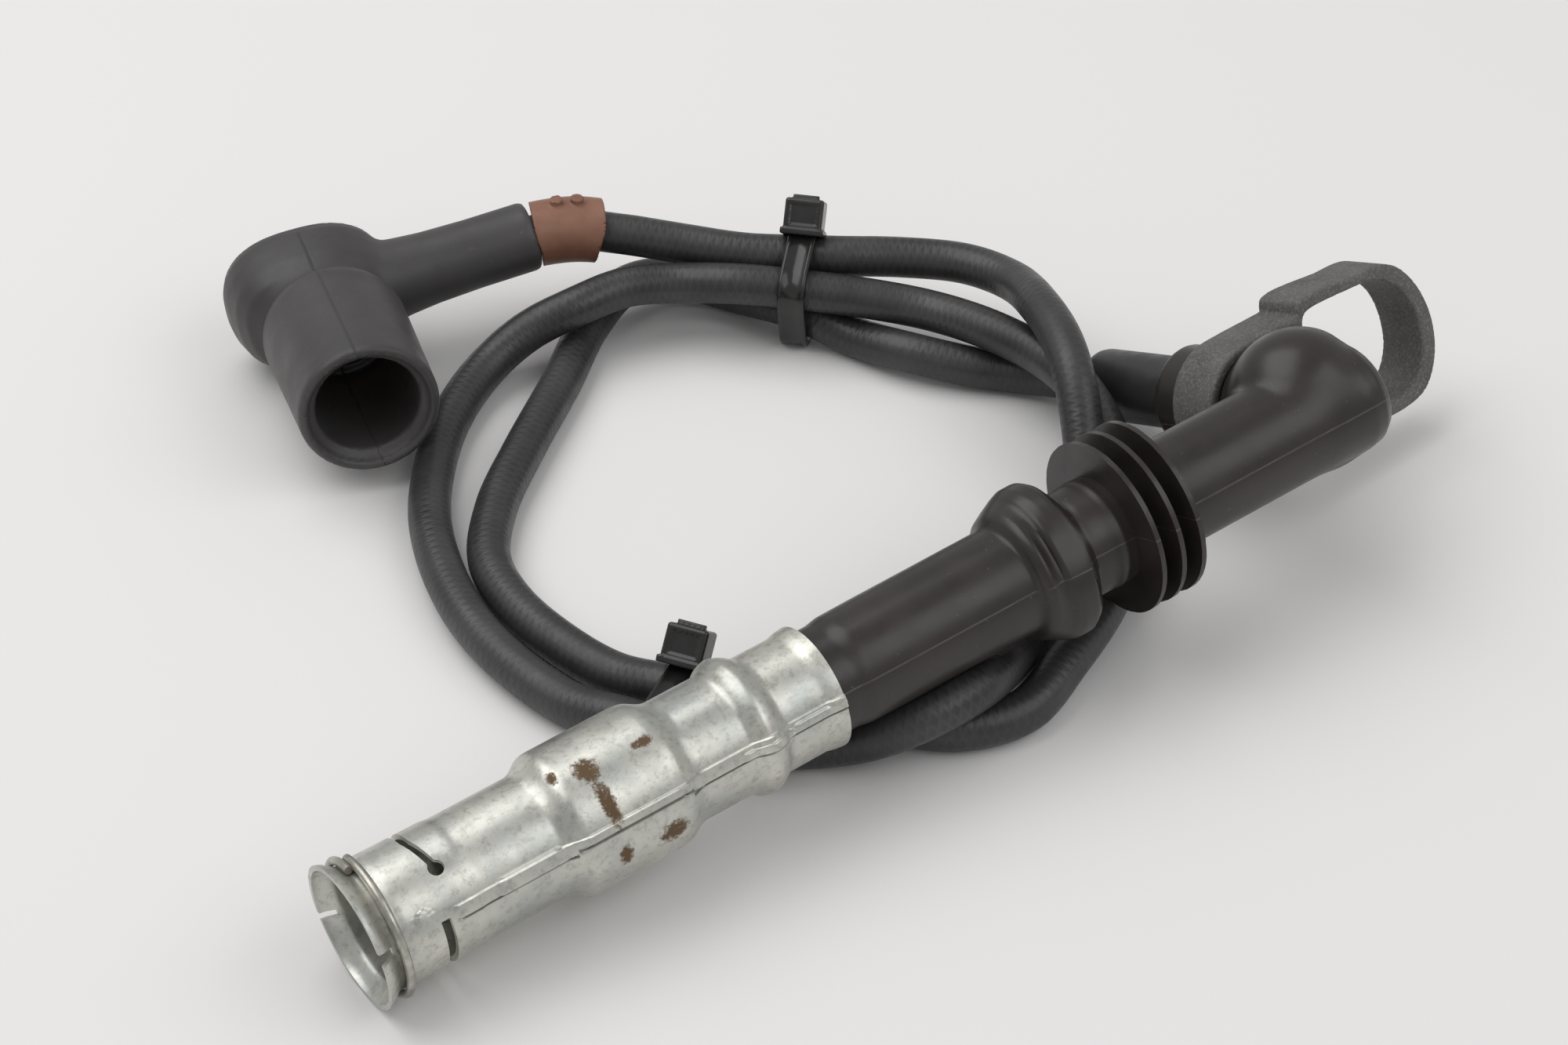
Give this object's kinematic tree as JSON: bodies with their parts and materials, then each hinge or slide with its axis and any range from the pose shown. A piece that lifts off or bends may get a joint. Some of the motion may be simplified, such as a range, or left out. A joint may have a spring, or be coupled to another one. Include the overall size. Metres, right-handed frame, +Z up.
{
  "type": "spark plug wire",
  "caption": "Spark plug wire with a finned elbow connector in a steel sleeve, a pull loop, a coiled tied cable and an angled rubber boot.",
  "frame": {"origin": "centre of the base of the bounding box of the rigid parts, without the cable, its ties and its marker ring", "axes": "+X along the plug connector from its open sleeve to its elbow, +Z up from the surface it lies on"},
  "size_m": [0.2155, 0.1594, 0.0395],
  "materials": {
    "steel": "zinc plated, satin",
    "spring_steel": "satin",
    "body_plastic": "satin moulding",
    "loop_rubber": "matt, finely textured",
    "tube_rubber": "satin",
    "cable_rubber": "satin with a woven imprint",
    "boot_rubber": "matt",
    "clip_plastic": "satin brown",
    "tie_plastic": "glossy nylon",
    "brass": "plain",
    "ceramic": "unglazed"
  },
  "bodies": {
    "root": {"shield_sleeve": "steel", "snap_ring": "spring_steel", "connector_body": "body_plastic", "plug_terminal": "brass", "suppressor_rod": "ceramic", "elbow_terminal": "brass", "pull_loop": "loop_rubber", "cable_sleeve": "tube_rubber", "ignition_cable": "cable_rubber", "marker_ring": "clip_plastic", "tie_back": "tie_plastic", "tie_front": "tie_plastic", "distributor_boot": "boot_rubber", "boot_terminal": "brass"}
  },
  "joints": []
}
